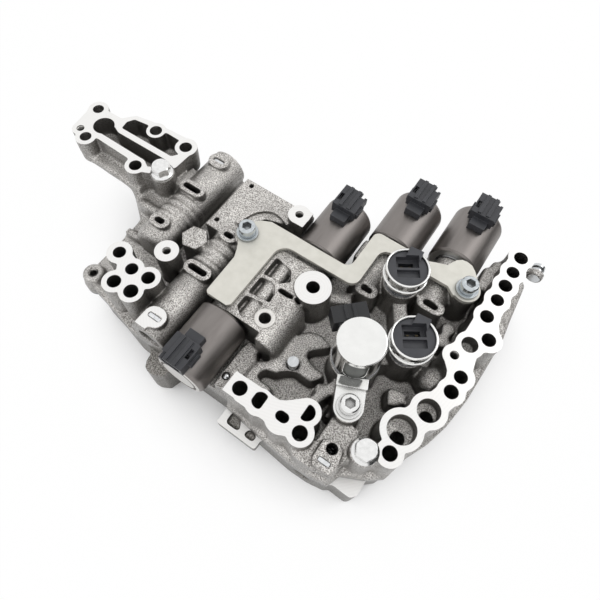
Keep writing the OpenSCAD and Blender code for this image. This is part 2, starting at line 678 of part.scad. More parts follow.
module solenoid_a_can() { color("#9a938e") at_lying(0) can(); }
module solenoid_b_can() { color("#9a938e") at_lying(1) can(); }
module solenoid_c_can() { color("#9a938e") at_lying(2) can(); }
module solenoid_d_can() { color("#9a938e") at_lying(3) can(); }
module solenoid_a_plug() { color("#2c2d30") at_lying(0) plug(); }
module solenoid_b_plug() { color("#2c2d30") at_lying(1) plug(); }
module solenoid_c_plug() { color("#2c2d30") at_lying(2) plug(); }
module solenoid_d_plug() { color("#2c2d30") at_lying(3) plug(); }
module solenoid_a_nose() { color("#b0b2b4") at_lying(0) nose(); }
module solenoid_b_nose() { color("#b0b2b4") at_lying(1) nose(); }
module solenoid_c_nose() { color("#b0b2b4") at_lying(2) nose(); }
module solenoid_d_nose() { color("#b0b2b4") at_lying(3) nose(); }

module nose_seals() {
    color("#202022") for (i = [0 : 3], y = [-9, -17]) at_lying(i) seal(y);
}

module plug_terminals() {
    color("#c8a24a") for (i = [0 : 3], x = [-2.6, 2.6]) at_lying(i) {
        block(x - 0.7, x + 0.7, 32, 35, can_r + plug_gap + 3.4, can_r + plug_gap + 4.2);
    }
}

// Upright socket solenoid: cap with a rolled rim, black socket face, neck and nose
module cap() {
    h = cap_up + 3;
    difference() {
        rotate_extrude() polygon(concat([[8.5, h - 8.4], [cap_r + 0.3, h - 8.4], [cap_r + 0.3, h - 6.8],
            [cap_r - 0.5, h - 6.4], [cap_r - 0.5, h - 2]], arc([cap_r - 0.7, h - 0.7], 0.7, 0, 180, 6),
            [[cap_r - 1.4, h - 6.6], [8.5, h - 6.6]]));
        rotate(96) block(6, 20, -4, 4, h - 2.4, h + 2);
    }
}

module socket_face() {
    h = cap_up + 3;
    difference() {
        union() {
            translate([0, 0, h - 6.6]) cylinder(h = 5, r = cap_r - 1.4 - fit);
            translate([0, 0, h - 10]) cylinder(h = 5, r = sleeve_r - fit);
            rotate(96) block(5, cap_r + 0.6, -3.9, 3.9, h - 2.3, h + 0.4);
        }
        rotate(34) {
            block(-6, 6.4, 0.7, 7.4, h - 5, h + 3);
            block(-4.2, 4.2, 0.7, 5.2, h - 9, h);
            block(-6, 6.4, -5.4, -0.7, h - 4, h + 3);
        }
    }
}

module neck() {
    h = cap_up + 3;
    difference() {
        union() {
            translate([0, 0, -19]) cylinder(h = 20, r = nose_r);
            cylinder(h = 1.5, r = 10);
            translate([0, 0, 1]) cylinder(h = h - 7.6, r = 8.5 - fit);
        }
        translate([0, 0, h - 10]) cylinder(h = 10, r = sleeve_r);
        for (z = [-6, -13]) difference() {
            translate([0, 0, z - 1]) cylinder(h = 2, r = nose_r + 2);
            translate([0, 0, z - 2]) cylinder(h = 4, r = nose_r - 1.4);
        }
    }
}

module at_cap(p) {
    translate([p[0], p[1], cap_z]) children();
}

module solenoid_e_can() { color("#c6c5c0") at_cap(cap_e) cap(); }
module solenoid_f_can() { color("#c6c5c0") at_cap(cap_f) cap(); }
module solenoid_e_socket() { color("#242528") at_cap(cap_e) socket_face(); }
module solenoid_f_socket() { color("#242528") at_cap(cap_f) socket_face(); }
module solenoid_e_nose() { color("#aeb0b1") at_cap(cap_e) neck(); }
module solenoid_f_nose() { color("#aeb0b1") at_cap(cap_f) neck(); }

module socket_terminals() {
    h = cap_up + 3;
    color("#c8a24a") {
        for (p = [cap_e, cap_f], x = [-2.4, 2.4]) at_cap(p) rotate(34) {
            block(x - 0.8, x + 0.8, 2.6, 3.4, h - 9, h - 5.4);
        }
        for (y = [-2.4, 2.4]) translate([tall_g[0], tall_g[1], seat_z]) rotate(plug_a) {
            block(17, 19.4, y - 0.8, y + 0.8, 7.9, 8.7);
        }
    }
}

// Tall upright solenoid with its clamp
module window_cut(w, r0, r1) {
    rotate(clamp_a - 2) translate([r0, 0, 0]) rotate([90, 0, 90]) linear_extrude(r1 - r0) {
        polygon(concat(arc([0, 9.4], w, 180, 360, 8), [[w, tall_up - 2], [-w, tall_up - 2]]));
    }
}

module solenoid_g_can() {
    h = tall_up + 2;
    color("#d3d3d1") translate([tall_g[0], tall_g[1], seat_z]) difference() {
        rotate_extrude() polygon(concat([[0, 2], [tall_r, 2]], arc([tall_r - 1.2, h - 1.2], 1.2, 0, 90, 4), [[0, h]]));
        window_cut(window_w, tall_r - 2.2, 20);
    }
}

module solenoid_g_window() {
    color("#5d605c") translate([tall_g[0], tall_g[1], seat_z]) intersection() {
        translate([0, 0, 2]) cylinder(h = tall_up, r = tall_r - 0.5, $fn = 240);
        window_cut(window_w - fit, tall_r - 2.2, 20);
    }
}

module solenoid_g_nose() {
    color("#b4b6b7") translate([tall_g[0], tall_g[1], seat_z]) difference() {
        union() {
            cylinder(h = 2, r = tall_r + 0.3);
            intersection() {
                cylinder(h = 2, r = 14.4);
                rotate(clamp_a) block(0, 20, -7, 7, 0, 2);
            }
            translate([0, 0, -20]) cylinder(h = 21, r = 8);
        }
        for (z = [-6, -13]) difference() {
            translate([0, 0, z - 1]) cylinder(h = 2, r = 10);
            translate([0, 0, z - 2]) cylinder(h = 4, r = 6.6);
        }
    }
}

module solenoid_g_plug() {
    color("#26272a") translate([tall_g[0], tall_g[1], seat_z]) difference() {
        rotate(plug_a) union() {
            block(8, 17, -7, 7, 2.2, 13);
            block(15, 24.5, -9.6, 9.6, 2.6, 14);
            block(16, 24, -3, -1.4, 13, 15);
            block(16, 24, 1.4, 3, 13, 15);
        }
        cylinder(h = 30, r = tall_r + fit);
        rotate(plug_a) block(17, 26, -7, 7, 5, 11.6);
    }
}

module upright_seals() {
    color("#202022") {
        for (p = [cap_e, cap_f], z = [-6, -13]) at_cap(p) translate([0, 0, z]) {
            rotate_extrude() translate([nose_r - 0.68, 0]) circle(0.7);
        }
        for (z = [-6, -13]) translate([tall_g[0], tall_g[1], seat_z + z]) {
            rotate_extrude() translate([8 - 0.68, 0]) circle(0.7);
        }
    }
}

module clamp_plate() {
    color("#d6d6d2") translate([tall_g[0], tall_g[1], seat_z]) rotate(clamp_a) difference() {
        union() {
            block(12, 17.4, -8, 8, 2, 4);
            block(15.4, 17.4, -8, 8, 0, 4);
            block(15.4, clamp_d, -7.6, 7.6, 0, 2);
            translate([clamp_d, 0, 0]) cylinder(h = 2, r = 7.6);
        }
        translate([0, 0, -1]) cylinder(h = 3, r = 14.4 + fit);
        translate([0, 0, 1]) cylinder(h = 20, r = tall_r + 0.2);
        translate([clamp_d, 0, -1]) cylinder(h = 4, r = bolt_r + 0.3);
    }
}

module clamp_washer() {
    color("#c9cccd") washer(base_pts[3], seat_z + 2, 6.3);
}

module clamp_screw() {
    color("#c0c4c6") socket_screw(base_pts[3], seat_z + 3.6);
}

// Spool valves: s is the way the bore opens, the mouth end carries spring, plug and clip
module spool(x, y, z, s, r, len) {
    g = r - run;
    translate([x, y, z]) rotate(s > 0 ? 0 : 180) rotate([-90, 0, 0]) rotate_extrude() polygon([[0, 0], [g - 0.4, 0],
        [g, 0.4], [g, len * 0.3], [g * 0.55, len * 0.3], [g * 0.55, len * 0.62], [g, len * 0.62], [g, len - 0.4],
        [g - 0.4, len], [g * 0.45, len], [g * 0.45, len - 4], [0, len - 4]]);
}

// wire centre radius, wire radius, length and turns; the section is the cut of a round wire by a level plane
module coil_spring(rc, rw, len, turns) {
    reach = 360 * rw * turns / len;
    wall = [for (i = [-4 : 4]) rw * sqrt(max(0.04, 1 - i * i / 16))];
    linear_extrude(height = len, twist = -360 * turns, slices = 12 * turns, $fn = 4) polygon(concat(
        [for (i = [-4 : 4]) (rc + wall[i + 4]) * [cos(reach * i / 4), sin(reach * i / 4)]],
        [for (i = [4 : -1 : -4]) (rc - wall[i + 4]) * [cos(reach * i / 4), sin(reach * i / 4)]]));
}

module spring_y(x, y, z, rc, rw, len, turns) {
    translate([x, y, z]) rotate([-90, 0, 0]) coil_spring(rc, rw, len, turns);
}

module end_plug(x, y0, y1, z, r) {
    along_y(x, z, y0, y1, r - fit);
}

module retainer(x, y, z, w, up) {
    difference() {
        block(x - w / 2, x + w / 2, y - clip_t / 2, y + clip_t / 2, z - w * 0.5, up);
        block(x - w / 5, x + w / 5, y - 3, y + 3, z - w, z + w * 0.3);
    }
}

// tube 1 opens to +y, tube 2 and the front right bore open to -y; rest is the gap at the bore's end
rest = 0.3;
spring_gap = 0.2;
spool1_y = -17 + rest;
spool_len = 22;
spool2_y = 5 - rest;
spool3_y = -51 - rest;
spool3_len = 8;
plug1_y = y1_clip - clip_t / 2 - 8;
plug2_y = y2_clip + clip_t / 2 + 8;
plug3_y = y3_clip + clip_t / 2 + 4;

module spool_1() { color("#c4c7c9") spool(x1, spool1_y, tube_z, 1, bore_r, spool_len); }
module spool_2() { color("#c4c7c9") spool(x2, spool2_y, tube_z, -1, bore_r, spool_len); }
module spool_3() { color("#c4c7c9") spool(x3, spool3_y, v3_z, -1, small_bore_r, spool3_len); }

module spring_1() {
    color("#9fa4a8") spring_y(x1, spool1_y + spool_len + spring_gap, tube_z, bore_r - 2, 0.7, plug1_y - spool1_y - spool_len
        - spring_gap, 7);
}

module spring_2() {
    color("#9fa4a8") spring_y(x2, plug2_y, tube_z, bore_r - 2, 0.7, spool2_y - spool_len - plug2_y - spring_gap, 8);
}

module spring_3() {
    color("#9fa4a8") spring_y(x3, plug3_y, v3_z, small_bore_r - 1.6, 0.5, spool3_y - spool3_len - plug3_y - spring_gap, 5);
}

module end_plug_1() { color("#a8abad") end_plug(x1, plug1_y, plug1_y + 8, tube_z, bore_r); }
module end_plug_2() { color("#a8abad") end_plug(x2, plug2_y - 8, plug2_y, tube_z, bore_r); }
module end_plug_3() { color("#a8abad") end_plug(x3, plug3_y - 4, plug3_y, v3_z, small_bore_r); }
module retainer_1() { color("#d2d4d6") retainer(x1, y1_clip, tube_z, 7.7, pad_z - 1.2); }
module retainer_2() { color("#d2d4d6") retainer(x2, y2_clip, tube_z, 7.7, pad_z - 0.6); }
module retainer_3() { color("#d2d4d6") retainer(x3, y3_clip, v3_z, 6.5, pad_z - 0.8); }

module manual_valve() {
    color("#d0d2d3") turned_y(rod_x, rod_y, rod_z, [[0, 0], [rod_r - 0.4, 0], [rod_r, 0.4], [rod_r, groove_y],
        [rod_r - 1, groove_y], [rod_r - 1, groove_y + groove_w], [rod_r, groove_y + groove_w],
        [rod_r, rod_len - 0.8], [rod_r - 0.8, rod_len], [0, rod_len]]);
}

upper_body();
separator_plate();
lower_body();
lower_plug();
dowel_pins();
locating_pin();
passage_ball();
retaining_bracket();
bracket_washers();
bracket_screws();
flange_bolts();
base_bolts();
solenoid_a_can();
solenoid_b_can();
solenoid_c_can();
solenoid_d_can();
solenoid_a_plug();
solenoid_b_plug();
solenoid_c_plug();
solenoid_d_plug();
solenoid_a_nose();
solenoid_b_nose();
solenoid_c_nose();
solenoid_d_nose();
nose_seals();
plug_terminals();
solenoid_e_can();
solenoid_f_can();
solenoid_e_socket();
solenoid_f_socket();
solenoid_e_nose();
solenoid_f_nose();
socket_terminals();
solenoid_g_can();
solenoid_g_window();
solenoid_g_nose();
solenoid_g_plug();
upright_seals();
clamp_plate();
clamp_washer();
clamp_screw();
spool_1();
spool_2();
spool_3();
spring_1();
spring_2();
spring_3();
end_plug_1();
end_plug_2();
end_plug_3();
retainer_1();
retainer_2();
retainer_3();
manual_valve();
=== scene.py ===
# %% [markdown]
# # Dressing a transmission valve body
# The object is the hydraulic brain of an automatic gearbox: two die-cast halves bolted over a steel plate, with
# solenoids clamped to them. The solids come finished from the CAD frame. This lesson gives them their looks: the soft
# edges and grain of a casting, faces that a mill has cut bright, drawn steel cans and moulded plugs.

# %% Load the solids
import json
import math

import bpy
from mathutils import Matrix, Vector


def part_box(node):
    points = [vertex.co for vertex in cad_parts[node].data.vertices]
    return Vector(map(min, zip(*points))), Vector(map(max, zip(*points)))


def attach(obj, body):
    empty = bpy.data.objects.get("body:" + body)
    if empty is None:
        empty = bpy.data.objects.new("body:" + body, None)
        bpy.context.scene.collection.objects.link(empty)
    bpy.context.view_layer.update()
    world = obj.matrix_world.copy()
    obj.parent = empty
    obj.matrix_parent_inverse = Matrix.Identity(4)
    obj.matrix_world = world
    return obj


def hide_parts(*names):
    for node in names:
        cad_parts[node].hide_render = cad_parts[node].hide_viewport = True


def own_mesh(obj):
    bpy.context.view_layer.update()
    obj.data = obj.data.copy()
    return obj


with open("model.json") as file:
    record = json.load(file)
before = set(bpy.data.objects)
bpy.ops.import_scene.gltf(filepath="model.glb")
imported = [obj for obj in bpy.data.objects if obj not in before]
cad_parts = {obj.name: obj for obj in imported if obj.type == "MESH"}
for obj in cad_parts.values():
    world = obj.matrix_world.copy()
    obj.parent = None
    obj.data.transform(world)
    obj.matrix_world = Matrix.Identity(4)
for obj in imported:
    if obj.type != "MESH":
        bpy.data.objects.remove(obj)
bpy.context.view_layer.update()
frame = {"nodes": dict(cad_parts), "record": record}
nodes = frame["nodes"]
MM = 0.001

# %% [markdown]
# ## Heights that the finishes need
# A mill cuts the mating face in one pass, so nearly everything bright on top lies in one plane. The seam and the top of
# the lower casting are cut too. These heights are read from the solids, so a changed casting carries its finish along.

# %% Planes of the castings
top_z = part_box("upper_body")[1].z
seam_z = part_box("upper_body")[0].z
low_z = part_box("lower_body")[1].z
print("mating face", round(top_z / MM, 2), "seam", round(seam_z / MM, 2), "lower casting", round(low_z / MM, 2))

# %% [markdown]
# ## Helpers for materials
# Colours are picked from a screen, where they are stored in sRGB, but the renderer adds light in linear values, so one
# function converts a hex colour. Another adds a shader node, sets its values and links its inputs in one line. Every
# material starts from Object coordinates, which are metres here, so a pattern's scale is one over its size.

# %% Colour and node helpers
def colour(code):
    parts = [int(code[i:i + 2], 16) / 255 for i in (1, 3, 5)]
    return [p / 12.92 if p <= 0.04045 else ((p + 0.055) / 1.055) ** 2.4 for p in parts] + [1]


def join(material, node, links):
    for name, source in links.items():
        material.node_tree.links.new(source, node.inputs[name])


def add_node(material, kind, settings=None, values=None, links=None):
    node = material.node_tree.nodes.new(kind)
    for name, value in (settings or {}).items():
        setattr(node, name, value)
    for name, value in (values or {}).items():
        node.inputs[name].default_value = value
    join(material, node, links or {})
    return node


def start_material(name):
    material = bpy.data.materials.new(name)
    material.use_nodes = True
    shader = material.node_tree.nodes["Principled BSDF"]
    place = add_node(material, "ShaderNodeTexCoord").outputs["Object"]
    return material, shader, place


def per_mm(size):
    return 1 / (size * MM)


print("helpers ready")

# %% [markdown]
# ## Where a casting is milled
# The castings come grey and grainy out of the die, and only the faces that meet the gearbox are milled bright. One
# material holds both finishes, so it has to know where the cutter went. A cut zone is a height with the limits of the
# area that the cutter reached, and the mask is 1 where an upward face lies in one of the zones.

# %% Mask of the milled faces
PLANE_SLACK = 0.12 * MM
UPWARD = 0.97


def milled_mask(material, place, up, cut_zones):
    spot = add_node(material, "ShaderNodeSeparateXYZ", {}, {}, {"Vector": place})
    mask = None
    for height, limits in cut_zones:
        zone = add_node(material, "ShaderNodeMath", {"operation": "COMPARE"}, {1: height, 2: PLANE_SLACK},
                        {0: spot.outputs["Z"]})
        for axis, side, limit in limits:
            inside = add_node(material, "ShaderNodeMath", {"operation": side}, {1: limit}, {0: spot.outputs[axis]})
            zone = add_node(material, "ShaderNodeMath", {"operation": "MULTIPLY"}, {},
                            {0: zone.outputs[0], 1: inside.outputs[0]})
        if mask is None:
            mask = zone
        else:
            mask = add_node(material, "ShaderNodeMath", {"operation": "MAXIMUM"}, {},
                            {0: mask.outputs[0], 1: zone.outputs[0]})
    upward = add_node(material, "ShaderNodeMath", {"operation": "GREATER_THAN"}, {1: UPWARD}, {0: up})
    return add_node(material, "ShaderNodeMath", {"operation": "MULTIPLY"}, {},
                    {0: mask.outputs[0], 1: upward.outputs[0]}).outputs[0]


# the pad of the clip at the front end of the second tube is cut 4 mm lower than the mating face
clip_pad = (top_z - 4 * MM, [("X", "LESS_THAN", -50 * MM), ("Y", "LESS_THAN", -56 * MM)])
upper_zones = [(top_z, []), clip_pad]
lower_zones = [(low_z, [("X", "GREATER_THAN", -20 * MM)])]
print("cut zones:", len(upper_zones), "on the upper casting,", len(lower_zones), "on the lower")

# %% [markdown]
# ## Die-cast aluminium
# A casting's skin is a fine grain of pale and dark specks over broad blotches. Painted shade darkens its walls, and
# more so in deep places, where faces that look up stay paler. The grain is drawn at 0.6 mm, coarser than the real one,
# because a pixel of the picture is half a millimetre.

# %% Colour of the cast skin
GRAIN_MM = 0.6
BLOTCH_MM = 14
# reach and colour of the painted shade in deep places
CORNER_SHADE_REACH = 34 * MM
CORNER_SHADE = "#706e6b"


def cast_colour(material, place, up, grain, pale, dark):
    speck = add_node(material, "ShaderNodeMapRange", {}, {"From Min": 0.37, "From Max": 0.63}, {"Value": grain})
    cast = add_node(material, "ShaderNodeMix", {"data_type": "RGBA"}, {6: colour(dark), 7: colour(pale)},
                    {0: speck.outputs["Result"]})
    blotch = add_node(material, "ShaderNodeTexNoise", {},
                      {"Scale": per_mm(BLOTCH_MM), "Detail": 4, "Roughness": 0.55}, {"Vector": place})
    mottle = add_node(material, "ShaderNodeMapRange", {},
                      {"From Min": 0.3, "From Max": 0.7, "To Min": 0.82, "To Max": 1.1},
                      {"Value": blotch.outputs["Fac"]})
    toned = add_node(material, "ShaderNodeMix", {"data_type": "RGBA", "blend_type": "MULTIPLY"}, {0: 1.0},
                     {6: cast.outputs[2], 7: mottle.outputs["Result"]})
    # painted shade: walls are coloured darker the less they face up
    wall_shade = add_node(material, "ShaderNodeMapRange", {},
                    {"From Min": 0.0, "From Max": 0.8, "To Min": 0.62, "To Max": 1.0}, {"Value": up})
    # the painted wall shade is multiplied into the cast colour here
    drawn = add_node(material, "ShaderNodeMix", {"data_type": "RGBA", "blend_type": "MULTIPLY"}, {0: 1.0},
                     {6: toned.outputs[2], 7: wall_shade.outputs["Result"]})
    # painted shade: deep places are darker, and faces there that look up stay paler than the walls beside them
    corner = add_node(material, "ShaderNodeAmbientOcclusion", {"samples": 8}, {"Distance": CORNER_SHADE_REACH})
    open_place = add_node(material, "ShaderNodeMapRange", {}, {"From Min": 0.1, "From Max": 0.8},
                          {"Value": corner.outputs["AO"]})
    level = add_node(material, "ShaderNodeMapRange", {},
                     {"From Min": 0.5, "From Max": 1.0, "To Min": 0.0, "To Max": 0.85}, {"Value": up})
    unshaded = add_node(material, "ShaderNodeMath", {"operation": "MAXIMUM"}, {},
                     {0: open_place.outputs["Result"], 1: level.outputs["Result"]})
    return add_node(material, "ShaderNodeMix", {"data_type": "RGBA"}, {6: colour(CORNER_SHADE)},
                    {0: unshaded.outputs[0], 7: drawn.outputs[2]}).outputs[2]


print("cast skin ready")

# %% [markdown]
# ## Cast and milled in one material
# The mask decides between the two finishes. A milled face is smoother and paler than the cast skin, and the cutter
# leaves fine arcs on it, drawn 1.6 mm apart so that they show. The cast skin stands out in small bumps, and the cut
# has hardly any.

# %% Cast and milled material
CUTTER_MM = 1.6
# length of a wave of scale 1
WAVE = 0.314
MILLED = ("#f1f0ee", "#f4f3f1")
CAST_GLOSS, MILLED_GLOSS = 0.36, 0.3
CAST_RELIEF, MILLED_RELIEF = 1.0, 0.03


def cast_aluminium(name, cut_zones, pale, dark):
    material, shader, place = start_material(name)
    facing = add_node(material, "ShaderNodeNewGeometry")
    up = add_node(material, "ShaderNodeSeparateXYZ", {}, {}, {"Vector": facing.outputs["Normal"]}).outputs["Z"]
    grain = add_node(material, "ShaderNodeTexNoise", {},
                     {"Scale": per_mm(GRAIN_MM), "Detail": 2, "Roughness": 0.5}, {"Vector": place}).outputs["Fac"]
    rough_skin = cast_colour(material, place, up, grain, pale, dark)
    milled = milled_mask(material, place, up, cut_zones)
    arcs = add_node(material, "ShaderNodeTexWave", {"wave_type": "RINGS", "rings_direction": "Z"},
                    {"Scale": per_mm(CUTTER_MM) * WAVE, "Distortion": 0.4, "Detail": 1}, {"Vector": place})
    bright = add_node(material, "ShaderNodeMix", {"data_type": "RGBA"},
                      {6: colour(MILLED[0]), 7: colour(MILLED[1])}, {0: arcs.outputs["Fac"]})
    shown = add_node(material, "ShaderNodeMix", {"data_type": "RGBA"}, {},
                     {0: milled, 6: rough_skin, 7: bright.outputs[2]})
    gloss = add_node(material, "ShaderNodeMapRange", {}, {"To Min": CAST_GLOSS, "To Max": MILLED_GLOSS},
                     {"Value": milled})
    depth = add_node(material, "ShaderNodeMapRange", {}, {"To Min": CAST_RELIEF, "To Max": MILLED_RELIEF},
                     {"Value": milled})
    relief = add_node(material, "ShaderNodeBump", {}, {"Distance": 0.45 * MM},
                      {"Strength": depth.outputs["Result"], "Height": grain})
    shader.inputs["Metallic"].default_value = 0.92
    join(material, shader, {"Base Color": shown.outputs[2], "Roughness": gloss.outputs["Result"],
                            "Normal": relief.outputs["Normal"]})
    return material


upper_cast = cast_aluminium("die_cast_aluminium_upper", upper_zones, "#f2efeb", "#827e7a")
lower_cast = cast_aluminium("die_cast_aluminium_lower", lower_zones, "#c4c1bb", "#66625f")
print("cast finishes:", upper_cast.name, lower_cast.name)

# %% [markdown]
# ## Steel, zinc and brass
# The other metals are sheet, wire and turned pieces. Each starts from its own colour and gloss, with streaks along the
# way it was drawn, rolled or turned, and a little unevenness so that no face is dead flat.

# %% Metals
RECESS_REACH = 5 * MM
# colour of the painted shade in recesses
RECESS_SHADE = "#5a5958"
METAL_EDGE = 0.35 * MM


def metal(name, pale, dark, gloss, streak_mm, stretch=(1, 1, 1), wear=0.06, share=1.0, end=None):
    material, shader, place = start_material(name)
    drawn = add_node(material, "ShaderNodeMapping", {}, {"Scale": stretch}, {"Vector": place})
    streaks = add_node(material, "ShaderNodeTexNoise", {}, {"Scale": per_mm(streak_mm), "Detail": 4},
                       {"Vector": drawn.outputs["Vector"]})
    spread = add_node(material, "ShaderNodeMapRange", {}, {"From Min": 0.3, "From Max": 0.7},
                      {"Value": streaks.outputs["Fac"]})
    unshaded = add_node(material, "ShaderNodeMix", {"data_type": "RGBA"}, {6: colour(dark), 7: colour(pale)},
                     {0: spread.outputs["Result"]})
    # painted shade: recesses a few millimetres wide are darkened
    recess = add_node(material, "ShaderNodeAmbientOcclusion", {"samples": 6}, {"Distance": RECESS_REACH})
    open_face = add_node(material, "ShaderNodeMapRange", {}, {"From Min": 0.25, "From Max": 0.75},
                         {"Value": recess.outputs["AO"]})
    tone = add_node(material, "ShaderNodeMix", {"data_type": "RGBA"}, {6: colour(RECESS_SHADE)},
                    {0: open_face.outputs["Result"], 7: unshaded.outputs[2]})
    if end:
        # the drawn cup's end was turned afterwards and is paler than its side
        facing = add_node(material, "ShaderNodeNewGeometry")
        split = add_node(material, "ShaderNodeSeparateXYZ", {}, {}, {"Vector": facing.outputs["Normal"]})
        flat = add_node(material, "ShaderNodeMath", {"operation": "ABSOLUTE"}, {}, {0: split.outputs["Y"]})
        disc = add_node(material, "ShaderNodeMath", {"operation": "GREATER_THAN"}, {1: 0.9}, {0: flat.outputs[0]})
        tone = add_node(material, "ShaderNodeMix", {"data_type": "RGBA"}, {7: colour(end)},
                        {0: disc.outputs[0], 6: tone.outputs[2]})
    rough = add_node(material, "ShaderNodeMapRange", {}, {"To Min": max(gloss - wear, 0.03), "To Max": gloss + wear},
                     {"Value": spread.outputs["Result"]})
    soft_edge = add_node(material, "ShaderNodeBevel", {"samples": 6}, {"Radius": METAL_EDGE})
    relief = add_node(material, "ShaderNodeBump", {}, {"Strength": 0.06, "Distance": 0.1 * MM},
                      {"Height": streaks.outputs["Fac"], "Normal": soft_edge.outputs["Normal"]})
    shader.inputs["Metallic"].default_value = share
    join(material, shader, {"Base Color": tone.outputs[2], "Roughness": rough.outputs["Result"],
                            "Normal": relief.outputs["Normal"]})
    return material


finishes = {
    # satin drawn steel of the lying cans, with streaks along the draw
    "can_steel": metal("satin_drawn_steel", "#8f8a87", "#817c79", 0.42, 4, (1, 0.2, 1), 0.04, end="#d4d2cf"),
    # bright plated steel of the upright caps and the clamp
    "bright_steel": metal("bright_plated_steel", "#f4f4f2", "#eeeeec", 0.12, 6, wear=0.03),
    # turned steel of the solenoid necks, with rings round the axis
    "nose_steel": metal("turned_steel", "#c0c2c4", "#9b9da0", 0.28, 1.2, (0.2, 0.2, 1)),
    # matt zinc on the stamped bracket, nearly white
    "bracket_steel": metal("matt_zinc_sheet", "#e0ded6", "#d5d3ca", 0.5, 5, share=0.7),
    # zinc plating of the bracket's screws, slightly blue
    "zinc_steel": metal("blue_zinc_steel", "#d0d5d8", "#bcc2c6", 0.2, 1.5),
    # clear zinc of the hex bolts and the clamp's screw
    "bolt_steel": metal("clear_zinc_steel", "#f2f2f1", "#e6e6e5", 0.18, 2),
    # ground rods and pins, with fine streaks along the valves
    "ground_steel": metal("ground_steel", "#dcdedf", "#c2c5c8", 0.2, 1.5, (1, 0.15, 1)),
    # bright strip of the flat clips
    "clip_steel": metal("bright_strip_steel", "#f0f1f2", "#dcdee0", 0.3, 2),
    # hard drawn wire of the springs
    "spring_steel": metal("spring_wire", "#a9aeb2", "#878c90", 0.3, 1),
    # rolled sheet of the plate in the seam
    "plate_steel": metal("rolled_sheet_steel", "#9fa2a5", "#7d8083", 0.35, 3, (1, 0.2, 1)),
    # turned aluminium of the bore plugs
    "machined_aluminium": metal("turned_aluminium", "#cfccc5", "#aeaaa3", 0.32, 1, (1, 0.1, 1)),
    # a face that a cutter has cleaned on the casting
    "faced_aluminium": metal("faced_aluminium", "#eceae6", "#dddad5", 0.34, 1),
    # brass blades, coloured darker as painted shade in their sockets
    "terminal_brass": metal("brass_in_painted_shade", "#5c5136", "#453c28", 0.4, 1),
}
print("metals:", ", ".join(sorted(finishes)))

# %% [markdown]
# ## Plastics and rubber
# The plugs are glass-filled nylon, black with a faint grey bloom and a fine spark-eroded skin from the mould. Edges
# catch a little light because they are rounded and rubbed.

# %% Moulded materials
BLOOM_MM = 5
MOULDED_EDGE = 0.45 * MM


def moulded(name, face, bloom, gloss, grain_mm, edge="#6d6e70"):
    material, shader, place = start_material(name)
    skin = add_node(material, "ShaderNodeTexNoise", {}, {"Scale": per_mm(grain_mm), "Detail": 3}, {"Vector": place})
    cloud = add_node(material, "ShaderNodeTexNoise", {}, {"Scale": per_mm(BLOOM_MM), "Detail": 3}, {"Vector": place})
    tone = add_node(material, "ShaderNodeMix", {"data_type": "RGBA"}, {6: colour(face), 7: colour(bloom)},
                    {0: cloud.outputs["Fac"]})
    # the rounded normal leaves the true one near an edge, which shows where hands rub
    soft_edge = add_node(material, "ShaderNodeBevel", {"samples": 6}, {"Radius": MOULDED_EDGE})
    facing = add_node(material, "ShaderNodeNewGeometry")
    turn = add_node(material, "ShaderNodeVectorMath", {"operation": "DOT_PRODUCT"}, {},
                    {0: soft_edge.outputs["Normal"], 1: facing.outputs["Normal"]})
    rubbed = add_node(material, "ShaderNodeMapRange", {},
                      {"From Min": 0.99, "From Max": 0.8, "To Min": 0.0, "To Max": 0.35},
                      {"Value": turn.outputs["Value"]})
    shown = add_node(material, "ShaderNodeMix", {"data_type": "RGBA"}, {7: colour(edge)},
                     {0: rubbed.outputs["Result"], 6: tone.outputs[2]})
    rough = add_node(material, "ShaderNodeMapRange", {}, {"To Min": gloss - 0.06, "To Max": gloss + 0.08},
                     {"Value": skin.outputs["Fac"]})
    relief = add_node(material, "ShaderNodeBump", {}, {"Strength": 0.15, "Distance": 0.12 * MM},
                      {"Height": skin.outputs["Fac"], "Normal": soft_edge.outputs["Normal"]})
    join(material, shader, {"Base Color": shown.outputs[2], "Roughness": rough.outputs["Result"],
                            "Normal": relief.outputs["Normal"]})
    return material


finishes["black_plastic"] = moulded("glass_filled_nylon", "#2b2c2f", "#3f4045", 0.42, 0.7, "#6a6b6e")
# a darker copy of the nylon, as painted shade for the plug down in the bay
finishes["plastic_in_painted_shade"] = moulded("nylon_in_painted_shade", "#18191b", "#26272a", 0.4, 0.7, "#4c4d50")
finishes["socket_plastic"] = moulded("socket_nylon", "#303135", "#46474c", 0.38, 0.7, "#65666a")
finishes["coil_plastic"] = moulded("coil_wrap", "#3b3d3a", "#4e514c", 0.35, 0.9)
finishes["seal_rubber"] = moulded("nitrile_rubber", "#17171a", "#232326", 0.5, 0.6)
finishes["cast_upper"] = upper_cast
finishes["cast_lower"] = lower_cast
print("finishes in all:", len(finishes))

# %% [markdown]
# ## A finish for every solid
# The record names a material slot for each solid, and the slot picks the finish. A few solids differ from their slot:
# the bolts are clear zinc where the other screws are blue, and the plug down in the bay gets a darker copy of the nylon
# as painted shade.

# %% Give every solid its finish
own_finish = dict.fromkeys(("flange_bolts", "base_bolts", "clamp_screw", "clamp_washer"), "bolt_steel")
# painted shade: the plug down in the bay gets the darker nylon
own_finish["solenoid_g_plug"] = "plastic_in_painted_shade"
for part in frame["record"]["subparts"]:
    solid = nodes[part["node"]]
    solid.data.materials.clear()
    solid.data.materials.append(finishes[own_finish.get(part["node"], part["material_slot"])])

# %% [markdown]
# ## Copies of solids
# A solid of the frame is never changed. A piece that looks different starts from a merged copy of its mesh, the solid
# is hidden, and the copy is attached to the body in its place.

# %% Copy a solid
MERGE = 0.002 * MM


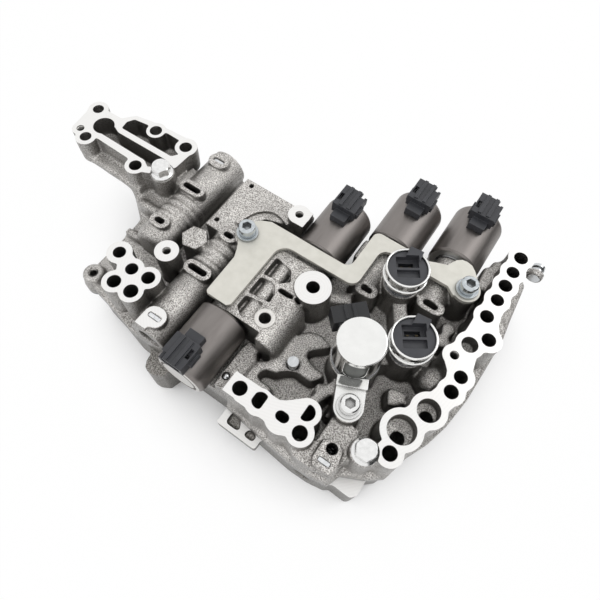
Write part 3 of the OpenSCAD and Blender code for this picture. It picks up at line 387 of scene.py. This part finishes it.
def copy_solid(node, name):
    piece = bpy.data.objects.new(name, nodes[node].data.copy())
    bpy.context.scene.collection.objects.link(piece)
    bpy.ops.object.select_all(action="DESELECT")
    piece.select_set(True)
    bpy.context.view_layer.objects.active = piece
    bpy.ops.object.mode_set(mode="EDIT")
    bpy.ops.mesh.select_mode(type="VERT")
    bpy.ops.mesh.select_all(action="SELECT")
    bpy.ops.mesh.remove_doubles(threshold=MERGE)
    bpy.ops.object.mode_set(mode="OBJECT")
    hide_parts(node)
    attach(piece, "body")
    return piece


def pick(mesh, wanted):
    # vertices are marked in Object mode, and the edit that follows works in Edit mode
    bpy.ops.object.mode_set(mode="EDIT")
    bpy.ops.mesh.select_all(action="DESELECT")
    bpy.ops.object.mode_set(mode="OBJECT")
    mesh.vertices.foreach_set("select", [wanted(v.co) for v in mesh.vertices])
    bpy.ops.object.mode_set(mode="EDIT")


print("copying ready")

# %% [markdown]
# ## Casting skins
# A die-cast part has no sharp corner except where a tool has cut it. The skin is made in the order of the foundry: the
# faces that will be cut get some stock on top, the whole body is melted into one even net and its corners are smoothed,
# and then the stock is cut away at the true height, which leaves crisp rims round every port. The solid underneath
# stays for the physics, and the skin is shown in its place.

# %% Model a casting skin
STOCK = 2.5 * MM
SAME_HEIGHT = 0.02 * MM
CAST_ANGLE = math.radians(38)
# the deep floor lies right of the first limit, and the web behind the first tube left of the second
BAY_X, WEB_X = -8 * MM, -106 * MM
ABOVE_SEAM, BELOW_TOP = 6 * MM, 9.5 * MM


def cast_skin(node, name, net_mm, passes, soft, up_cut, down_cut, keep_share):
    skin = copy_solid(node, name)
    mesh = skin.data
    cuts = ((up_cut, 1), (down_cut, -1))
    for height, way in cuts:
        pick(mesh, lambda co: abs(co.z - height) < SAME_HEIGHT)
        bpy.ops.transform.translate(value=(0, 0, way * STOCK))
    bpy.ops.object.mode_set(mode="OBJECT")
    melt = skin.modifiers.new("net", "REMESH")
    melt.mode = "VOXEL"
    melt.voxel_size = net_mm * MM
    bpy.ops.object.modifier_apply(modifier="net")
    round_off = skin.modifiers.new("round", "SMOOTH")
    round_off.factor = 0.5
    round_off.iterations = passes
    bpy.ops.object.modifier_apply(modifier="round")
    # the deep floor and the web behind the first tube are rounder than the rest
    floor, roof = down_cut + ABOVE_SEAM, up_cut - BELOW_TOP
    pick(mesh, lambda co: floor < co.z < roof and (co.x > BAY_X or co.x < WEB_X))
    bpy.ops.mesh.vertices_smooth(factor=0.5, repeat=soft)
    for height, way in cuts:
        bpy.ops.mesh.select_all(action="SELECT")
        bpy.ops.mesh.bisect(plane_co=(0, 0, height), plane_no=(0, 0, way), use_fill=True, clear_outer=True)
    bpy.ops.object.mode_set(mode="OBJECT")
    lean = skin.modifiers.new("lean", "DECIMATE")
    lean.ratio = keep_share
    bpy.ops.object.modifier_apply(modifier="lean")
    bpy.ops.object.shade_smooth_by_angle(angle=CAST_ANGLE)
    print(name, "faces", len(skin.data.polygons))
    return skin


upper_skin = cast_skin("upper_body", "upper_casting", net_mm=0.6, passes=3, soft=40,
                       up_cut=top_z, down_cut=seam_z, keep_share=0.16)
lower_skin = cast_skin("lower_body", "lower_casting", net_mm=0.9, passes=4, soft=2,
                       up_cut=low_z, down_cut=0.0, keep_share=0.25)

# %% [markdown]
# ## Springs
# Each spool pushes a wound spring against a plug. Each spring that a joint names is shown as a merged copy of its
# solid, shaded smooth, with a mesh of its own.

# %% Springs
WIRE_ANGLE = math.radians(60)
for joint in frame["record"]["behaviour"]["joints"]:
    for wound in joint.get("deforming_nodes", []):
        coil = copy_solid(wound["node"], "wound_" + wound["node"])
        bpy.ops.object.shade_smooth_by_angle(angle=WIRE_ANGLE)
        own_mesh(coil)

# %% [markdown]
# ## Rings
# The two kinds of piece that follow are rings, and both start as a circle of vertices that is moved to its place in
# Edit mode, so that the object itself stays at the origin.

# %% Start a ring
def start_ring(name, spot, radius, count):
    bpy.ops.object.select_all(action="DESELECT")
    bpy.ops.mesh.primitive_circle_add(vertices=count, radius=radius)
    ring = bpy.context.active_object
    ring.name = name
    bpy.ops.object.mode_set(mode="EDIT")
    bpy.ops.mesh.select_all(action="SELECT")
    bpy.ops.transform.translate(value=spot)
    return ring


print("ring helper ready")

# %% [markdown]
# ## Collar of the middle block
# The hole in the middle block has a flat collar, about a millimetre high, which the smoothing has melted away. A cutter
# has faced it, so it is paler than the block. It is put back as a turned ring: a circle is extruded up, outwards, down
# and in again, and its rims are bevelled.

# %% Collar
COLLAR_RIM = 0.4 * MM


def collar(name, spot, inner, outer, height):
    ring = start_ring(name, spot, inner, 48)
    for lift, spread in ((height, 1), (0, outer / inner), (-height, 1), (0, inner / outer)):
        bpy.ops.mesh.extrude_region_move(TRANSFORM_OT_translate={"value": (0, 0, lift)})
        bpy.ops.transform.resize(value=(spread, spread, 1), center_override=spot)
    bpy.ops.mesh.select_all(action="SELECT")
    bpy.ops.mesh.remove_doubles(threshold=0.001 * MM)
    bpy.ops.mesh.normals_make_consistent(inside=False)
    bpy.ops.object.mode_set(mode="OBJECT")
    rim = ring.modifiers.new("rim", "BEVEL")
    rim.width = COLLAR_RIM
    rim.segments = 3
    bpy.ops.object.modifier_apply(modifier="rim")
    bpy.ops.object.shade_smooth_by_angle(angle=CAST_ANGLE)
    ring.data.materials.append(finishes["faced_aluminium"])
    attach(ring, "body")
    return ring


block_hole = (-10.9 * MM, -30 * MM, top_z - 4.3 * MM)
block_collar = collar("block_collar", block_hole, inner=3.3 * MM, outer=5.8 * MM, height=3.4 * MM)
print("collar faces:", len(block_collar.data.polygons))

# %% [markdown]
# ## Threads
# Five holes of the upper casting are tapped. A tap cuts a helix, but in a hole this deep only its rings show, so each
# thread is a stack of rings: a circle is extruded downwards, and every second step is drawn inwards to make a crest.

# %% Thread rings
CREST = 0.84
THREAD_ANGLE = math.radians(25)


def thread_rings(name, spot, radius, turns, pitch):
    ring = start_ring(name, spot, radius, 36)
    for step in range(turns * 2):
        bpy.ops.mesh.extrude_region_move(TRANSFORM_OT_translate={"value": (0, 0, -pitch / 2)})
        draw = CREST if step % 2 == 0 else 1 / CREST
        bpy.ops.transform.resize(value=(draw, draw, 1), center_override=spot)
    bpy.ops.object.mode_set(mode="OBJECT")
    bpy.ops.object.shade_smooth_by_angle(angle=THREAD_ANGLE)
    ring.data.materials.append(finishes["faced_aluminium"])
    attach(ring, "body")
    return ring


# place of each thread's first ring in millimetres
tapped = [(-80.3, -28.7, 59.4), (-33.6, 35.8, 59.4), (82.4, 9.6, 59.4), (-185, 9.2, 59.4), (-117.3, -58, 39.4)]
for count, hole in enumerate(tapped):
    first_ring = tuple(v * MM for v in hole)
    thread_rings("thread_" + str(count + 1), first_ring, radius=2.5 * MM, turns=9, pitch=1 * MM)
print("threads:", len(tapped))

# %% [markdown]
# ## White paper
# The picture is a catalogue shot on white paper. The paper is a pale plane. Far from the object it is exposed to plain
# white for the eye and for mirrors, and near the object the lit paper shows, which keeps the shadow.

# %% Paper
SHADE_REACH = 70 * MM
bpy.ops.object.select_all(action="DESELECT")
bpy.ops.mesh.primitive_plane_add(size=6, location=(0, 0, -0.3 * MM))
paper = bpy.context.active_object
paper.name = "paper"
paper_white, paper_shader, paper_place = start_material("white_paper")
fibre = add_node(paper_white, "ShaderNodeTexNoise", {}, {"Scale": per_mm(40)}, {"Vector": paper_place})
paper_tone = add_node(paper_white, "ShaderNodeMix", {"data_type": "RGBA"},
                      {6: colour("#f8f8f8"), 7: colour("#fdfdfd")}, {0: fibre.outputs["Fac"]})
paper_shader.inputs["Roughness"].default_value = 0.9
join(paper_white, paper_shader, {"Base Color": paper_tone.outputs[2]})
rays = add_node(paper_white, "ShaderNodeLightPath")
direct = add_node(paper_white, "ShaderNodeMath", {"operation": "MAXIMUM"}, {},
                  {0: rays.outputs["Is Camera Ray"], 1: rays.outputs["Is Glossy Ray"]})
seen = add_node(paper_white, "ShaderNodeMath", {"operation": "MAXIMUM"}, {},
                {0: direct.outputs[0], 1: rays.outputs["Is Transmission Ray"]})
near = add_node(paper_white, "ShaderNodeAmbientOcclusion", {"samples": 16}, {"Distance": SHADE_REACH})
away = add_node(paper_white, "ShaderNodeMapRange", {},
                {"From Min": 0.35, "From Max": 0.8, "To Min": 0.0, "To Max": 0.98}, {"Value": near.outputs["AO"]})
share = add_node(paper_white, "ShaderNodeMath", {"operation": "MULTIPLY"}, {},
                 {0: seen.outputs[0], 1: away.outputs["Result"]})
glow = add_node(paper_white, "ShaderNodeEmission", {}, {"Strength": 1.0})
blend = add_node(paper_white, "ShaderNodeMixShader", {}, {},
                 {0: share.outputs[0], 1: paper_shader.outputs[0], 2: glow.outputs[0]})
join(paper_white, paper_white.node_tree.nodes["Material Output"], {"Surface": blend.outputs[0]})
paper.data.materials.append(paper_white)
print("paper", tuple(round(v, 2) for v in paper.dimensions))

# %% [markdown]
# ## White room and dark flags
# The world is a plain white room, so the metal shows white around it. Two black cloths beside the object, hidden from
# the camera, give the bright steel something dark to mirror, as flags do in a photo studio.

# %% Room and flags
world = bpy.data.worlds.new("white_room")
bpy.context.scene.world = world
world.use_nodes = True
room = world.node_tree.nodes["Background"]
room.inputs["Color"].default_value = (1, 1, 1, 1)
room.inputs["Strength"].default_value = 1.0
UPRIGHT = (0, math.radians(90), 0)


def dark_flag(name, spot, size):
    bpy.ops.mesh.primitive_plane_add(size=1, location=spot, rotation=UPRIGHT)
    flag = bpy.context.active_object
    flag.name = name
    flag.scale = size
    cloth, cloth_shader, cloth_place = start_material(name + "_cloth")
    weave = add_node(cloth, "ShaderNodeTexNoise", {}, {"Scale": per_mm(5)}, {"Vector": cloth_place})
    black = add_node(cloth, "ShaderNodeMix", {"data_type": "RGBA"}, {6: colour("#0c0c0c"), 7: colour("#181818")},
                     {0: weave.outputs["Fac"]})
    cloth_shader.inputs["Roughness"].default_value = 1.0
    join(cloth, cloth_shader, {"Base Color": black.outputs[2]})
    flag.data.materials.append(cloth)
    flag.visible_camera = False
    flag.visible_shadow = False
    return flag


flag_right = dark_flag("flag_right", spot=(0.5, 0.15, 0.14), size=(0.28, 1.1, 1))
flag_left = dark_flag("flag_left", spot=(-0.6, -0.2, 0.07), size=(0.14, 1.0, 1))
print("flags:", flag_right.name, flag_left.name)

# %% [markdown]
# ## Key light
# One large soft box behind the object and to its right draws the highlights. It is kept weak, so that the milled faces
# stay just under white.

# %% Soft box
def soft_box(name, spot, aim, size, watts):
    lamp = bpy.data.lights.new(name, "AREA")
    lamp.shape = "SQUARE"
    lamp.size = size
    lamp.energy = watts
    box = bpy.data.objects.new(name, lamp)
    bpy.context.scene.collection.objects.link(box)
    box.location = spot
    box.rotation_euler = (Vector(aim) - Vector(spot)).to_track_quat("-Z", "Y").to_euler()
    return box


key_box = soft_box("key_box", spot=(0.5, 0.6, 0.75), aim=(0, 0, 0.03), size=0.5, watts=1.2)
print("lamp:", key_box.name, key_box.data.energy, "W")

# %% [markdown]
# ## Camera
# The camera stands where the photographer stood: in front, to the right and well above, close enough that the far wing
# looks smaller. Its place and axes were solved from the flat mating face and the round holes in it.

# %% Camera
stand = Vector((0.05932, -0.11584, 0.305))
right = Vector((0.82494, 0.56396, 0.03764))
up = Vector((-0.51977, 0.73075, 0.44254))
back = right.cross(up)
lens = bpy.data.cameras.new("camera")
lens.sensor_width = 36
lens.sensor_fit = "HORIZONTAL"
lens.lens = 30.22
lens.clip_start = 0.01
camera = bpy.data.objects.new("camera", lens)
bpy.context.scene.collection.objects.link(camera)
camera.matrix_world = Matrix.Translation(stand) @ Matrix((right, up, back)).transposed().to_4x4()
bpy.context.scene.camera = camera
bpy.context.scene.view_settings.view_transform = "Standard"
print("camera at", [round(v, 4) for v in camera.location])
